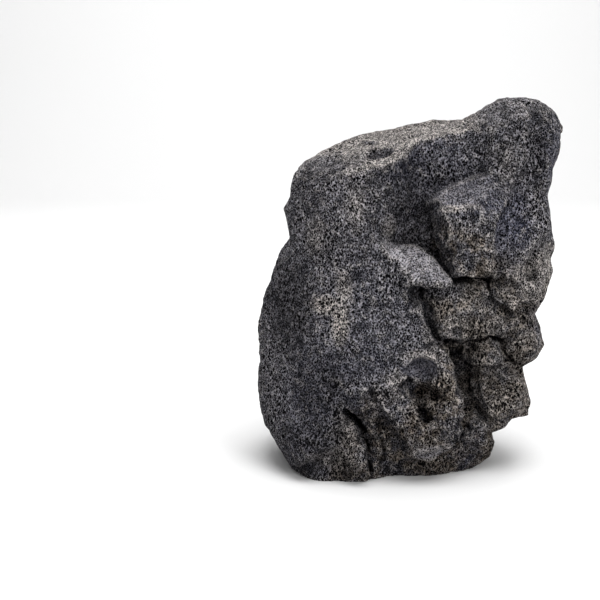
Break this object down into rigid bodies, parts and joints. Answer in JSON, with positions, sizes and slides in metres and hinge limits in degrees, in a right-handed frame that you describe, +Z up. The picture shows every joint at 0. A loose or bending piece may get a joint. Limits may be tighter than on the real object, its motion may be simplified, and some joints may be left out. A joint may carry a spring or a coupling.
{
  "type": "lava rock",
  "caption": "Loose stone of dark vesicular lava with a flat base, a broad broken front slab, a recessed shelf and a rounded horn, for an aquascape or rockery.",
  "frame": {"origin": "middle of the stone's bounding box, on the surface it stands on", "axes": "+Z up, from the flat base to the horn; +Y from the broad front slab to the back; +X towards the horn's side"},
  "size_m": [0.1712, 0.12, 0.2048],
  "materials": {
    "lava": "rough matt dark grey lava, finely pitted, with brown and lighter grey patches"
  },
  "bodies": {
    "root": {"lava_rock": "lava"}
  },
  "joints": []
}
